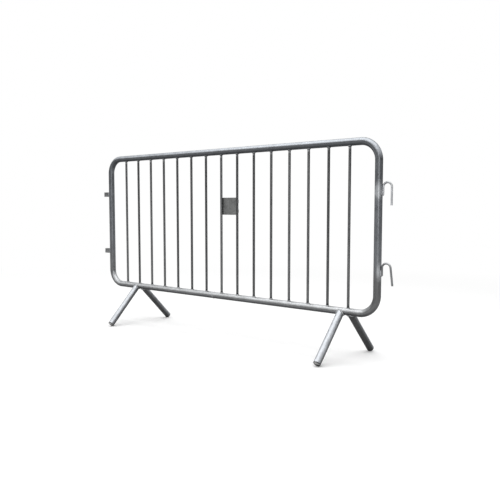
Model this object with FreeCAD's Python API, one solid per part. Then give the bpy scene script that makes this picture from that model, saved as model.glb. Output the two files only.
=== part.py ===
"""Galvanised steel pedestrian barrier with fixed splayed legs, linked end to end by hooks and eyes.

Millimetres. +X runs along the barrier towards its hook end, +Y to the rear, +Z up.
The origin is on the ground, below the middle of the overall length.
"""
import FreeCAD, Part
import math
import os

Vec = FreeCAD.Vector
X_AXIS = Vec(1, 0, 0)
Y_AXIS = Vec(0, 1, 0)
Z_AXIS = Vec(0, 0, 1)

# Frame: one round tube, bent at four corners and closed by a butt weld in the bottom rail.
FRAME_LENGTH = 2040.0  # over the outsides of the two end posts
FRAME_TOP = 1100.0  # ground to the top of the top rail
GROUND_CLEARANCE = 220.0  # ground to the underside of the bottom rail
FRAME_TUBE_DIAMETER = 38.0
FRAME_TUBE_WALL = 1.5
BEND_RADIUS = 95.0  # to the tube's centre-line
BUTT_GAP = 2.0  # root gap between the tube's two ends
BUTT_WELD_WIDTH = 7.0
BUTT_WELD_CROWN = 1.2
BUTT_BAY = 7  # the butt weld is halfway between this bar and the next
DRAIN_HOLE_DIAMETER = 8.0  # lets zinc run out of the frame after dipping
DRAIN_HOLE_OFFSET = 180.0  # each side of the butt weld

# Infill: round bars between the rails, coped onto them.
BAR_COUNT = 15
BAR_DIAMETER = 14.0
END_BAY = 157.5  # from each end post's axis to the axis of the bar beside it
BAR_WELD_LEG = 2.6
BAR_WELD_BULGE = 0.8  # how much wider the weld is down the rail's flanks

# Blank plate welded behind two neighbouring bars.
PLATE_BAR = 8  # the bar under the plate's left edge, counted from the eye end
PLATE_HEIGHT = 99.0
PLATE_THICKNESS = 3.0
PLATE_CORNER_RADIUS = 2.0
PLATE_CENTRE_HEIGHT = 766.5
PLATE_TACK_LENGTH = 18.0
PLATE_TACK_RADIUS = 2.6
PLATE_TACK_OFFSET = 1.0  # from the corner of plate and bar to a tack's axis
PLATE_TACK_INSET = 22.0  # from the plate's top and bottom edges to a tack's middle

# Legs: two straight tubes side by side at each end, splayed to the front and to the rear.
LEG_TUBE_DIAMETER = 38.0
LEG_TUBE_WALL = 2.0
LEG_ANGLE = 45.0  # from the vertical
LEG_SPACING = 50.0  # between the front and the rear leg's axes, along the rail
LEFT_LEG_INSET = 280.0  # from the eye-end post's axis to the middle of its pair of legs
RIGHT_LEG_INSET = 172.0  # from the hook-end post's axis to the middle of its pair of legs
LEG_FEATHER_TRIM = 4.0  # the coped end's two points stop this far past the rail's axis
LEG_WELD_RADIUS = 4.2

# Plastic plugs in the feet.
PLUG_HEAD_THICKNESS = 4.5
PLUG_EDGE_CHAMFER = 1.2
PLUG_STEM_LENGTH = 20.0
PLUG_STEM_WALL = 2.0
PLUG_CLEARANCE = 0.15  # between the stem and the leg's bore, on the radius

# Hooks: round rod, bent over and down, with the shank welded to the end post.
HOOK_ROD_DIAMETER = 10.0
HOOK_SPAN = 44.0  # between the axes of the shank and of the free leg
HOOK_SHANK_LENGTH = 38.0
HOOK_LEG_LENGTH = 88.0
HOOK_TIP_CHAMFER = 1.2
HOOK_POST_GAP = 0.2  # fit-up gap, bridged by the weld
HOOK_BEND_HEIGHTS = {"upper": 858.0, "lower": 472.0}
HOOK_LEANS = {"upper": 0.0, "lower": 7.0}  # how far each free leg points away from the post, in degrees
HOOK_WELD_RADIUS = 3.6
HOOK_WELD_LENGTH = 26.0
HOOK_WELD_SPREAD = 5.2  # from the hook's plane to the axis of each side bead
HOOK_WELD_OFFSET = 1.0  # from the shank's near side to the axes of the side beads
HOOK_WELD_TOE_RADIUS = 6.0
HOOK_WELD_TOE_INSET = 1.0  # from the shank's axis towards the post, to the toe's centre

# Eyes: flat strap bent into a U, its two arms welded to the end post.
EYE_STRAP_WIDTH = 30.0
EYE_STRAP_THICKNESS = 5.0
EYE_OPENING = 24.0  # between the arms
EYE_REACH = 52.0  # from the post's outside to the strap's far side
EYE_DROP = 12.0  # below the centre of the hook bend that it pairs with
EYE_WELD_RADIUS = 3.6
EYE_WELD_OFFSET = 1.0  # both ways from the corner of arm and post to a bead's axis

# Sizes that follow from those above.
TUBE_R = FRAME_TUBE_DIAMETER / 2
BAR_R = BAR_DIAMETER / 2
LEG_R = LEG_TUBE_DIAMETER / 2
ROD_R = HOOK_ROD_DIAMETER / 2
POST_X = FRAME_LENGTH / 2 - TUBE_R
TOP_Z = FRAME_TOP - TUBE_R
BOTTOM_Z = GROUND_CLEARANCE + TUBE_R
FIRST_BAR_X = -POST_X + END_BAY
BAR_PITCH = 2 * (POST_X - END_BAY) / (BAR_COUNT - 1)
BUTT_X = FIRST_BAR_X + (BUTT_BAY - 0.5) * BAR_PITCH
HOOK_SHANK_X = POST_X + TUBE_R + HOOK_POST_GAP + ROD_R
LEG_TILT = math.radians(LEG_ANGLE)
FOOT_AXIS_Z = max((LEG_R - PLUG_EDGE_CHAMFER) * math.sin(LEG_TILT),
                  LEG_R * math.sin(LEG_TILT) - PLUG_EDGE_CHAMFER * math.cos(LEG_TILT))
LEG_REACH = (BOTTOM_Z - FOOT_AXIS_Z) / math.cos(LEG_TILT)  # rail axis to the ground end, plug included
LEG_PAIR_X = {"left": -POST_X + LEFT_LEG_INSET, "right": POST_X - RIGHT_LEG_INSET}
SIDES = {"front": -1, "rear": 1}
PARALLEL = 1e-6  # largest sine between two directions that count as parallel


def hook_reach():
    """The x of the hooks' farthest point, which is on the free leg that leans most."""
    lean = math.radians(max(HOOK_LEANS.values()))
    bend_end = HOOK_SPAN / 2 * (1 + math.cos(lean))
    leg_end = (HOOK_LEG_LENGTH - HOOK_TIP_CHAMFER) * math.sin(lean)
    return HOOK_SHANK_X + bend_end + leg_end + ROD_R * math.cos(lean)


def eye_reach():
    """The x of the eyes' farthest point."""
    return -(POST_X + TUBE_R + EYE_REACH)


FRAME_CENTRE_X = -(hook_reach() + eye_reach()) / 2


def round_bar(radius, start, direction, length):
    return Part.makeCylinder(radius, length, start, direction)


def tube(radius, wall, start, direction, length):
    outside = round_bar(radius, start, direction, length)
    return outside.cut(round_bar(radius - wall, start, direction, length))


def disc(radius, centre, normal):
    return Part.Face(Part.Wire(Part.Circle(centre, normal, radius).toShape()))


def tube_bend(radius, wall, start, tangent, pivot, axis, angle):
    """A tube of one bend: its section at start, turned about the axis through pivot."""
    outside = disc(radius, start, tangent).revolve(pivot, axis, angle)
    return outside.cut(disc(radius - wall, start, tangent).revolve(pivot, axis, angle))


def capsule(radius, start, end):
    """A weld run with round ends, its axis from start to end."""
    run = end - start
    body = round_bar(radius, start, run, run.Length)
    return body.fuse([Part.makeSphere(radius, start), Part.makeSphere(radius, end)])


def rail_solid(height):
    """The solid envelope of a rail's straight run."""
    half = POST_X - BEND_RADIUS
    return round_bar(TUBE_R, Vec(-half, 0, height), X_AXIS, 2 * half)


def post_solid(side):
    """The solid envelope of an end post's straight run."""
    low = BOTTOM_Z + BEND_RADIUS
    return round_bar(TUBE_R, Vec(side * POST_X, 0, low), Z_AXIS, TOP_Z - BEND_RADIUS - low)


def frame_tube():
    """The whole frame tube, from one side of the butt weld round to the other."""
    inner_x = POST_X - BEND_RADIUS
    low = BOTTOM_Z + BEND_RADIUS
    high = TOP_Z - BEND_RADIUS
    pieces = [tube(TUBE_R, FRAME_TUBE_WALL, Vec(-inner_x, 0, TOP_Z), X_AXIS, 2 * inner_x)]
    for side in (-1, 1):
        start = Vec(BUTT_X + side * BUTT_GAP / 2, 0, BOTTOM_Z)
        run = inner_x - side * start.x
        pieces.append(tube(TUBE_R, FRAME_TUBE_WALL, start, X_AXIS * side, run))
        pieces.append(tube(TUBE_R, FRAME_TUBE_WALL, Vec(side * POST_X, 0, low), Z_AXIS, high - low))
        for rail_z, pivot_z, turn in ((BOTTOM_Z, low, -1), (TOP_Z, high, 1)):
            rail_end = Vec(side * inner_x, 0, rail_z)
            pivot = Vec(side * inner_x, 0, pivot_z)
            pieces.append(tube_bend(TUBE_R, FRAME_TUBE_WALL, rail_end, X_AXIS, pivot, Y_AXIS * side * turn, 90))
    frame = pieces[0].fuse(pieces[1:])
    for side in (-1, 1):
        hole_axis = Vec(BUTT_X + side * DRAIN_HOLE_OFFSET, 0, BOTTOM_Z)
        frame = frame.cut(round_bar(DRAIN_HOLE_DIAMETER / 2, hole_axis, -Z_AXIS, FRAME_TUBE_DIAMETER))
    return frame


def butt_weld():
    """The weld that closes the frame tube: it fills the root gap and stands proud as a low crown."""
    root = BUTT_GAP / 2
    toe = BUTT_WELD_WIDTH / 2
    bore = TUBE_R - FRAME_TUBE_WALL
    left_bore, left_root, left_toe = Vec(-root, 0, bore), Vec(-root, 0, TUBE_R), Vec(-toe, 0, TUBE_R)
    right_bore, right_root, right_toe = Vec(root, 0, bore), Vec(root, 0, TUBE_R), Vec(toe, 0, TUBE_R)
    crown = Part.Arc(left_toe, Vec(0, 0, TUBE_R + BUTT_WELD_CROWN), right_toe).toShape()
    edges = [
        Part.makeLine(left_bore, left_root),
        Part.makeLine(left_root, left_toe),
        crown,
        Part.makeLine(right_toe, right_root),
        Part.makeLine(right_root, right_bore),
        Part.makeLine(right_bore, left_bore),
    ]
    ring = Part.Face(Part.Wire(edges)).revolve(Vec(0, 0, 0), X_AXIS, 360)
    ring.translate(Vec(BUTT_X, 0, BOTTOM_Z))
    return ring


def bar_x(number):
    """The x of an infill bar's axis; bars are counted from 1 at the eye end."""
    return FIRST_BAR_X + (number - 1) * BAR_PITCH


def infill_bar():
    """A bar at x = 0, coped at both ends to sit on the rails."""
    bar = round_bar(BAR_R, Vec(0, 0, BOTTOM_Z), Z_AXIS, TOP_Z - BOTTOM_Z)
    return bar.cut([rail_solid(BOTTOM_Z), rail_solid(TOP_Z)])


def bar_weld(rail_z, towards_bar):
    """The collar of weld where a bar at x = 0 meets a rail: a cone, held in at the rail's flanks."""
    along_bar = Z_AXIS * towards_bar
    centre = Vec(0, 0, rail_z)
    height = TUBE_R + BAR_WELD_LEG
    cone = Part.makeCone(BAR_R + height, BAR_R, height, centre, along_bar)
    collar = cone.common(round_bar(BAR_R + BAR_WELD_LEG + BAR_WELD_BULGE, centre, along_bar, height))
    bar = round_bar(BAR_R, centre, along_bar, TOP_Z - BOTTOM_Z)
    return collar.cut([rail_solid(rail_z), bar])


def copies_along_bars(shape):
    """One copy of a shape made at x = 0 for every infill bar."""
    copies = []
    for number in range(1, BAR_COUNT + 1):
        copies.append(shape.translated(Vec(bar_x(number), 0, 0)))
    return copies


def plate():
    """The blank plate: it spans one bar pitch and lies against the backs of its two bars."""
    low = PLATE_CENTRE_HEIGHT - PLATE_HEIGHT / 2
    sheet = Part.makeBox(BAR_PITCH, PLATE_THICKNESS, PLATE_HEIGHT, Vec(bar_x(PLATE_BAR), BAR_R, low))
    corners = [edge for edge in sheet.Edges if edge.tangentAt(0).cross(Y_AXIS).Length < PARALLEL]
    return sheet.makeFillet(PLATE_CORNER_RADIUS, corners)


def plate_tacks():
    """Four short welds between the plate's upright edges and the bars."""
    bay = Part.makeBox(BAR_PITCH, TUBE_R, TOP_Z, Vec(bar_x(PLATE_BAR), 0, 0))
    tacks = []
    for number, outward in ((PLATE_BAR, -1), (PLATE_BAR + 1, 1)):
        bar = round_bar(BAR_R, Vec(bar_x(number), 0, BOTTOM_Z), Z_AXIS, TOP_Z - BOTTOM_Z)
        for end in (-1, 1):
            middle = PLATE_CENTRE_HEIGHT + end * (PLATE_HEIGHT / 2 - PLATE_TACK_INSET)
            edge = Vec(bar_x(number) + outward * PLATE_TACK_OFFSET, BAR_R + PLATE_TACK_OFFSET, middle)
            half = Z_AXIS * (PLATE_TACK_LENGTH / 2)
            tacks.append(capsule(PLATE_TACK_RADIUS, edge - half, edge + half).cut([bar, bay]))
    return tacks


class LegPlace:
    """Where one leg stands: its top on the bottom rail's axis, and its axis and outward normal."""

    def __init__(self, end, side):
        self.sign = SIDES[side]
        x = LEG_PAIR_X[end] + self.sign * LEG_SPACING / 2
        self.top = Vec(x, 0, BOTTOM_Z)
        self.down = Vec(0, self.sign * math.sin(LEG_TILT), -math.cos(LEG_TILT))
        self.outward = Vec(0, self.sign * math.cos(LEG_TILT), math.sin(LEG_TILT))

    def at(self, distance):
        """The point of the leg's axis this far from the rail's axis."""
        return self.top + self.down * distance


def leg(place):
    """A leg tube, coped at the top to the bottom rail and cut square at the foot."""
    length = LEG_REACH - PLUG_HEAD_THICKNESS - LEG_FEATHER_TRIM
    body = tube(LEG_R, LEG_TUBE_WALL, place.at(LEG_FEATHER_TRIM), place.down, length)
    return body.cut(rail_solid(BOTTOM_Z))


def leg_weld(place):
    """The bead round a leg's coped end: two runs, each along half of the saddle curve."""
    reach = math.acos(LEG_FEATHER_TRIM / TUBE_R)
    runs = []
    for along in (-1, 1):
        valley = place.top + X_AXIS * (along * LEG_R) + place.down * TUBE_R
        saddle = Part.Ellipse(valley, place.top + place.outward * LEG_R, place.top)
        path = saddle.toShape(-reach, reach)
        start, end = saddle.value(-reach), saddle.value(reach)
        section = Part.Circle(start, path.tangentAt(path.FirstParameter), LEG_WELD_RADIUS)
        runs.append(Part.Wire(path).makePipeShell([Part.Wire(section.toShape())], True, True))
        runs.extend([Part.makeSphere(LEG_WELD_RADIUS, start), Part.makeSphere(LEG_WELD_RADIUS, end)])
    bead = runs[0].fuse(runs[1:])
    leg_body = round_bar(LEG_R, place.at(-LEG_R), place.down, LEG_REACH)
    return bead.cut([rail_solid(BOTTOM_Z), leg_body])


def foot_plug(place):
    """A plastic plug: a hollow stem inside the leg's bore, and a head that covers the tube's end."""
    stem_r = LEG_R - LEG_TUBE_WALL - PLUG_CLEARANCE
    head_start = LEG_REACH - PLUG_HEAD_THICKNESS
    head = round_bar(LEG_R, place.at(head_start), place.down, PLUG_HEAD_THICKNESS)
    rim = max(head.Edges, key=lambda edge: (edge.CenterOfMass - place.top).dot(place.down))
    head = head.makeChamfer(PLUG_EDGE_CHAMFER, [rim])
    stem = tube(stem_r, PLUG_STEM_WALL, place.at(head_start - PLUG_STEM_LENGTH), place.down, PLUG_STEM_LENGTH)
    return head.fuse(stem)


def hook(name):
    """A hook: shank up the post, a bend over the top, and the free leg down."""
    bend_r = HOOK_SPAN / 2
    lean = HOOK_LEANS[name]
    bend_start = Vec(HOOK_SHANK_X, 0, HOOK_BEND_HEIGHTS[name])
    pivot = bend_start + X_AXIS * bend_r
    shank = round_bar(ROD_R, bend_start, -Z_AXIS, HOOK_SHANK_LENGTH)
    bend = disc(ROD_R, bend_start, Z_AXIS).revolve(pivot, Y_AXIS, 180 - lean)
    turn = math.radians(lean)
    leg_start = pivot + Vec(math.cos(turn), 0, math.sin(turn)) * bend_r
    direction = Vec(math.sin(turn), 0, -math.cos(turn))
    free_leg = round_bar(ROD_R, leg_start, direction, HOOK_LEG_LENGTH)
    tip = max(free_leg.Edges, key=lambda edge: (edge.CenterOfMass - leg_start).dot(direction))
    free_leg = free_leg.makeChamfer(HOOK_TIP_CHAMFER, [tip])
    return shank.fuse([bend, free_leg])


def hook_weld(name, rod):
    """The weld at a hook's shank: a bead up each side, and a rounded toe under its end."""
    foot = Vec(POST_X + TUBE_R + HOOK_POST_GAP, 0, HOOK_BEND_HEIGHTS[name] - HOOK_SHANK_LENGTH)
    runs = [Part.makeSphere(HOOK_WELD_TOE_RADIUS, foot + X_AXIS * (ROD_R - HOOK_WELD_TOE_INSET))]
    for side in (-1, 1):
        start = foot + Vec(HOOK_WELD_OFFSET, side * HOOK_WELD_SPREAD, 0)
        runs.append(capsule(HOOK_WELD_RADIUS, start, start + Z_AXIS * HOOK_WELD_LENGTH))
    bead = runs[0].fuse(runs[1:])
    return bead.cut([post_solid(1), rod])


def eye(name):
    """An eye: the strap's outline seen from above, raised to the strap's width and coped to the post."""
    inner_r = EYE_OPENING / 2
    outer_r = inner_r + EYE_STRAP_THICKNESS
    bend_x = -(POST_X + TUBE_R + EYE_REACH - outer_r)
    low = HOOK_BEND_HEIGHTS[name] - EYE_DROP - EYE_STRAP_WIDTH / 2
    arm = abs(bend_x) - POST_X
    outside = round_bar(outer_r, Vec(bend_x, 0, low), Z_AXIS, EYE_STRAP_WIDTH)
    outside = outside.fuse(Part.makeBox(arm, 2 * outer_r, EYE_STRAP_WIDTH, Vec(bend_x, -outer_r, low)))
    opening = round_bar(inner_r, Vec(bend_x, 0, low), Z_AXIS, EYE_STRAP_WIDTH)
    opening = opening.fuse(Part.makeBox(arm, EYE_OPENING, EYE_STRAP_WIDTH, Vec(bend_x, -inner_r, low)))
    strap = outside.cut([opening, post_solid(-1)])
    return strap.removeSplitter()


def eye_welds(name, strap):
    """The two upright beads in the corners between an eye's arms and the post."""
    face_y = EYE_OPENING / 2 + EYE_STRAP_THICKNESS
    corner_x = -(POST_X + math.sqrt(TUBE_R**2 - face_y**2))
    middle = HOOK_BEND_HEIGHTS[name] - EYE_DROP
    half = EYE_STRAP_WIDTH / 2 - EYE_WELD_RADIUS / 2
    beads = []
    for side in (-1, 1):
        corner = Vec(corner_x - EYE_WELD_OFFSET, side * (face_y + EYE_WELD_OFFSET), middle)
        bead = capsule(EYE_WELD_RADIUS, corner - Z_AXIS * half, corner + Z_AXIS * half)
        beads.append(bead.cut([post_solid(-1), strap]))
    return beads


def build():
    """Every node of the barrier, by name, about the middle of the frame."""
    nodes = {"frame_tube": frame_tube(), "frame_butt_weld": butt_weld()}
    for number, bar in enumerate(copies_along_bars(infill_bar()), start=1):
        nodes[f"infill_bar_{number:02d}"] = bar
    nodes["bar_welds_bottom"] = Part.makeCompound(copies_along_bars(bar_weld(BOTTOM_Z, 1)))
    nodes["bar_welds_top"] = Part.makeCompound(copies_along_bars(bar_weld(TOP_Z, -1)))
    nodes["plate"] = plate()
    nodes["plate_tack_welds"] = Part.makeCompound(plate_tacks())
    beads = []
    for end in LEG_PAIR_X:
        for side in SIDES:
            place = LegPlace(end, side)
            nodes[f"leg_{side}_{end}"] = leg(place)
            nodes[f"foot_plug_{side}_{end}"] = foot_plug(place)
            beads.append(leg_weld(place))
    nodes["leg_welds"] = Part.makeCompound(beads)
    hook_beads = []
    eye_beads = []
    for name in HOOK_BEND_HEIGHTS:
        nodes[f"hook_{name}"] = hook(name)
        hook_beads.append(hook_weld(name, nodes[f"hook_{name}"]))
        nodes[f"eye_{name}"] = eye(name)
        eye_beads.extend(eye_welds(name, nodes[f"eye_{name}"]))
    nodes["hook_welds"] = Part.makeCompound(hook_beads)
    nodes["eye_welds"] = Part.makeCompound(eye_beads)
    return nodes


def main():
    os.makedirs("parts", exist_ok=True)
    for name, shape in build().items():
        placed = shape.translated(Vec(FRAME_CENTRE_X, 0, 0))
        placed.exportStep(f"parts/{name}.step")
        print(name, len(placed.Solids), placed.isValid(), round(placed.Volume))


main()
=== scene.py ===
"""Dresses a galvanised crowd control barrier: bent tube frame, bars, legs, hooks, eyes, welds.

Everything is in metres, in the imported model's own frame: +X along the barrier towards its hooks,
+Y to the rear, +Z up, with the ground at zero.
"""
from __future__ import annotations

import logging
import math
from dataclasses import dataclass
from enum import Enum
from typing import Any, Callable, Iterable, Sequence

import bmesh
import bpy
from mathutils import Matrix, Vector


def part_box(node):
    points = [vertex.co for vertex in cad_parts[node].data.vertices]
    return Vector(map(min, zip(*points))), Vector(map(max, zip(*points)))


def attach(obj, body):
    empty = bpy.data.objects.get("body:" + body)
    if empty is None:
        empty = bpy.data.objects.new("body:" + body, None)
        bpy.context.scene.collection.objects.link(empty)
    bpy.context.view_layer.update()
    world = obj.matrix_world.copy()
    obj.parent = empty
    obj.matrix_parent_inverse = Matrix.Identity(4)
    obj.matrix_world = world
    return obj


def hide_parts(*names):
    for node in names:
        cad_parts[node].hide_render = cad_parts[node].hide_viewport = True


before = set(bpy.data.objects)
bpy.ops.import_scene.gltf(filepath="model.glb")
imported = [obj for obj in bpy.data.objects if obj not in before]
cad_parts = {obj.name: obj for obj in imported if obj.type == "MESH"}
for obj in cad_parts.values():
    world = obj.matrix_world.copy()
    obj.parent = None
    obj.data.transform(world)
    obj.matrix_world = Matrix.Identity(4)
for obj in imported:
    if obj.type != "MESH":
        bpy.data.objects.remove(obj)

log = logging.getLogger("barrier")
ROOT = "root"
MM = 0.001
Colour = tuple[float, float, float]
Point = tuple[float, float, float]
Span = tuple[float, float]
Socket = bpy.types.NodeSocket


class Side(Enum):
    """Which way a leg is splayed."""

    FRONT = -1
    REAR = 1


class End(Enum):
    """Which end of the barrier a piece belongs to."""

    LEFT = "left"
    RIGHT = "right"


class Level(Enum):
    """Which hook or eye of an end post."""

    UPPER = "upper"
    LOWER = "lower"


class Slot(Enum):
    """The record's material slots."""

    STEEL = "galvanised_steel"
    WELD = "galvanised_weld"
    PLASTIC = "black_plastic"


# ---------------------------------------------------------------------------------------------
# Node trees
# ---------------------------------------------------------------------------------------------


class Tree:
    """A node tree, filled in one node at a time."""

    def __init__(self, nodes: bpy.types.NodeTree) -> None:
        """Wraps an empty node tree.

        Args:
            nodes: the tree to fill.
        """
        self.nodes = nodes

    def add(self, kind: str, inputs: dict[str | int, Any] | None = None,
            **settings: Any) -> bpy.types.Node:
        """Adds one node.

        Args:
            kind: the node's type name.
            inputs: socket name or index to a value, or to the output socket that feeds it.
            settings: the node's own properties.

        Returns:
            The new node.
        """
        node = self.nodes.nodes.new(kind)
        for key, value in settings.items():
            setattr(node, key, value)
        for key, value in (inputs or {}).items():
            if isinstance(value, Socket):
                self.nodes.links.new(value, node.inputs[key])
            else:
                node.inputs[key].default_value = value
        return node

    def output(self, kind: str, inputs: dict[str | int, Any] | None = None,
               **settings: Any) -> Socket:
        """The first output of a new node.

        Args:
            kind: the node's type name.
            inputs: as add takes them.
            settings: the node's own properties.

        Returns:
            The output socket.
        """
        return self.add(kind, inputs, **settings).outputs[0]

    def math(self, operation: str, *values: Any) -> Socket:
        """The result of a Math node on up to three values or sockets."""
        return self.output("ShaderNodeMath", dict(enumerate(values)), operation=operation)

    def vector_math(self, operation: str, *values: Any) -> Socket:
        """The vector result of a Vector Math node."""
        return self.output("ShaderNodeVectorMath", dict(enumerate(values)), operation=operation)

    def vector_measure(self, operation: str, *values: Any) -> Socket:
        """The number that a Vector Math node gives, such as a length or a dot product."""
        node = self.add("ShaderNodeVectorMath", dict(enumerate(values)), operation=operation)
        return node.outputs["Value"]

    def scaled(self, vector: Any, factor: Any) -> Socket:
        """A vector times a number."""
        inputs = {0: vector, "Scale": factor}
        return self.output("ShaderNodeVectorMath", inputs, operation="SCALE")

    def along_axis(self, vector: Any, axis: str) -> Socket:
        """A vector's X, Y or Z."""
        return self.add("ShaderNodeSeparateXYZ", {0: vector}).outputs[axis]

    def ramp(self, value: Any, span: Span, result: Span = (0.0, 1.0)) -> Socket:
        """A value mapped smoothly from one span onto another.

        Args:
            value: the number or socket to map.
            span: the values that give the result's two ends, in either order.
            result: what they give.

        Returns:
            The mapped value, which stays between the result's ends.
        """
        inputs = {"Value": value, "From Min": span[0], "From Max": span[1],
                  "To Min": result[0], "To Max": result[1]}
        return self.output("ShaderNodeMapRange", inputs, interpolation_type="SMOOTHSTEP")

    def mix(self, factor: Any, first: Any, second: Any) -> Socket:
        """One colour mixed with another.

        Args:
            factor: 0 for the first colour, 1 for the second, or a socket.
            first: a colour, or the socket that gives it.
            second: the same for the other colour.

        Returns:
            The mixed colour.
        """
        node = self.add("ShaderNodeMix", data_type="RGBA", clamp_factor=True)
        # The node's sockets 6 and 7 are its two colours, and its output 2 is the mixed colour.
        for index, value in ((0, factor), (6, first), (7, second)):
            if isinstance(value, Socket):
                self.nodes.links.new(value, node.inputs[index])
            else:
                node.inputs[index].default_value = (*value, 1.0)
        return node.outputs[2]

    def noise(self, place: Any, scale: float, detail: float,
              roughness: float = 0.5) -> bpy.types.NodeOutputs:
        """A noise texture's outputs.

        Args:
            place: the coordinates that it reads.
            scale: how many lumps it has in a metre.
            detail: how many times finer noise is added.
            roughness: how strong the finer noise is.

        Returns:
            Its outputs: the value first, then the colour.
        """
        inputs = {"Vector": place, "Scale": scale, "Detail": detail, "Roughness": roughness}
        return self.add("ShaderNodeTexNoise", inputs).outputs


class GeometryTree(Tree):
    """A geometry node group with named inputs, applied to hosts to give plain meshes."""

    def __init__(self, name: str) -> None:
        """Starts a group that takes and gives geometry.

        Args:
            name: the group's name.
        """
        group = bpy.data.node_groups.new(name, "GeometryNodeTree")
        super().__init__(group)
        for way in ("INPUT", "OUTPUT"):
            group.interface.new_socket("Geometry", in_out=way, socket_type="NodeSocketGeometry")
        self.start = self.add("NodeGroupInput")
        self.end = self.add("NodeGroupOutput")
        self.identifiers: dict[str, str] = {}

    def input(self, name: str, kind: str, default: Any = None) -> Socket:
        """Declares a named input.

        Args:
            name: the input's name.
            kind: Float, Int, Vector or Material.
            default: its value where a host gives none.

        Returns:
            The socket that carries it inside the group.
        """
        item = self.nodes.interface.new_socket(name, in_out="INPUT",
                                               socket_type=f"NodeSocket{kind}")
        if default is not None:
            item.default_value = default
        self.identifiers[name] = item.identifier
        return self.start.outputs[name]

    def stored(self, geometry: Socket, name: str, value: Socket, domain: str) -> Socket:
        """A geometry with a number of its own at each point or instance.

        Args:
            geometry: the geometry to mark.
            name: the attribute's name.
            value: the number.
            domain: POINT or INSTANCE.

        Returns:
            The marked geometry.
        """
        inputs = {"Geometry": geometry, "Name": name, "Value": value}
        return self.output("GeometryNodeStoreNamedAttribute", inputs, data_type="FLOAT",
                           domain=domain)

    def named(self, name: str) -> Socket:
        """The number that an attribute holds."""
        return self.output("GeometryNodeInputNamedAttribute", {"Name": name}, data_type="FLOAT")

    def circle(self, segments: Socket, radius: Socket) -> Socket:
        """A round section with this many sides."""
        inputs = {"Resolution": segments, "Radius": radius}
        return self.output("GeometryNodeCurvePrimitiveCircle", inputs)

    def finish(self, geometry: Socket) -> None:
        """Ends the group: realised, shaded smooth and given its material.

        Args:
            geometry: what the group has made.
        """
        material = self.input("Material", "Material")
        real = self.output("GeometryNodeRealizeInstances", {"Geometry": geometry})
        shaded = self.output("GeometryNodeSetShadeSmooth",
                             {"Geometry": real, "Shade Smooth": True})
        dressed = self.output("GeometryNodeSetMaterial",
                              {"Geometry": shaded, "Material": material})
        self.nodes.links.new(dressed, self.end.inputs[0])

    def apply(self, host: bpy.types.Mesh, name: str, values: dict[str, Any]) -> bpy.types.Object:
        """Runs the group on a host mesh and keeps the result as a plain mesh object.

        Args:
            host: the mesh that the group starts from.
            name: the finished object's name.
            values: input name to value.

        Returns:
            The finished object, with no modifier.
        """
        carrier = bpy.data.objects.new(f"{name}_host", host)
        bpy.context.scene.collection.objects.link(carrier)
        modifier = carrier.modifiers.new(self.nodes.name, "NODES")
        modifier.node_group = self.nodes
        for key, value in values.items():
            modifier[self.identifiers[key]] = value
        graph = bpy.context.evaluated_depsgraph_get()
        mesh = bpy.data.meshes.new_from_object(carrier.evaluated_get(graph), depsgraph=graph)
        bpy.data.objects.remove(carrier)
        return place_mesh(mesh, name)


def place_mesh(mesh: bpy.types.Mesh, name: str) -> bpy.types.Object:
    """Puts a finished mesh in the scene.

    Args:
        mesh: the mesh, already in the barrier's frame.
        name: the object's and the mesh's name.

    Returns:
        Its object, at the origin.
    """
    mesh.name = name
    piece = bpy.data.objects.new(name, mesh)
    bpy.context.scene.collection.objects.link(piece)
    return piece


def place_made(mesh: bpy.types.Mesh, name: str, finish: bpy.types.Material,
               crease: float) -> bpy.types.Object:
    """Puts a mesh that was made point by point in the scene, with its finish.

    Args:
        mesh: the mesh, already in the barrier's frame.
        name: the object's and the mesh's name.
        finish: its material.
        crease: edges that turn by more than this angle are shaded sharp.

    Returns:
        Its object, at the origin.
    """
    piece = place_mesh(mesh, name)
    mesh.materials.append(finish)
    mesh.set_sharp_from_angle(angle=crease)
    return piece


def declare(piece: bpy.types.Object, slot: Slot, *nodes: str) -> None:
    """Fastens a piece to the barrier in place of its CAD nodes.

    Args:
        piece: the finished object.
        slot: the record's material slot; not used.
        nodes: the CAD nodes that it stands for.
    """
    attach(piece, ROOT)
    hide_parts(*nodes)
    faces = len(piece.data.polygons)
    log.info("%s: %d faces, in place of %s", piece.name, faces, ", ".join(nodes))


# ---------------------------------------------------------------------------------------------
# Meshes
# ---------------------------------------------------------------------------------------------


def mesh_from(name: str, build: Callable[[bmesh.types.BMesh], None]) -> bpy.types.Mesh:
    """A mesh filled by a function.

    Args:
        name: the mesh's name.
        build: fills an empty bmesh.

    Returns:
        The mesh, with outward normals and smooth faces.
    """
    work = bmesh.new()
    build(work)
    bmesh.ops.recalc_face_normals(work, faces=work.faces)
    for face in work.faces:
        face.smooth = True
    mesh = bpy.data.meshes.new(name)
    work.to_mesh(mesh)
    work.free()
    return mesh


def skin_rings(work: bmesh.types.BMesh, rings: Sequence[Sequence[Vector]]) -> None:
    """Joins rings of points into a closed skin with a cap at each end.

    Args:
        work: the bmesh to add to.
        rings: rings with the same number of points, in order along the form.
    """
    made = [[work.verts.new(point) for point in ring] for ring in rings]
    count = len(made[0])
    for low, high in zip(made, made[1:]):
        for i in range(count):
            j = (i + 1) % count
            work.faces.new((low[i], low[j], high[j], high[i]))
    work.faces.new(reversed(made[0]))
    work.faces.new(made[-1])


def circle_angles(count: int) -> list[float]:
    """Evenly spaced angles of one turn."""
    return [2 * math.pi * i / count for i in range(count)]


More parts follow.
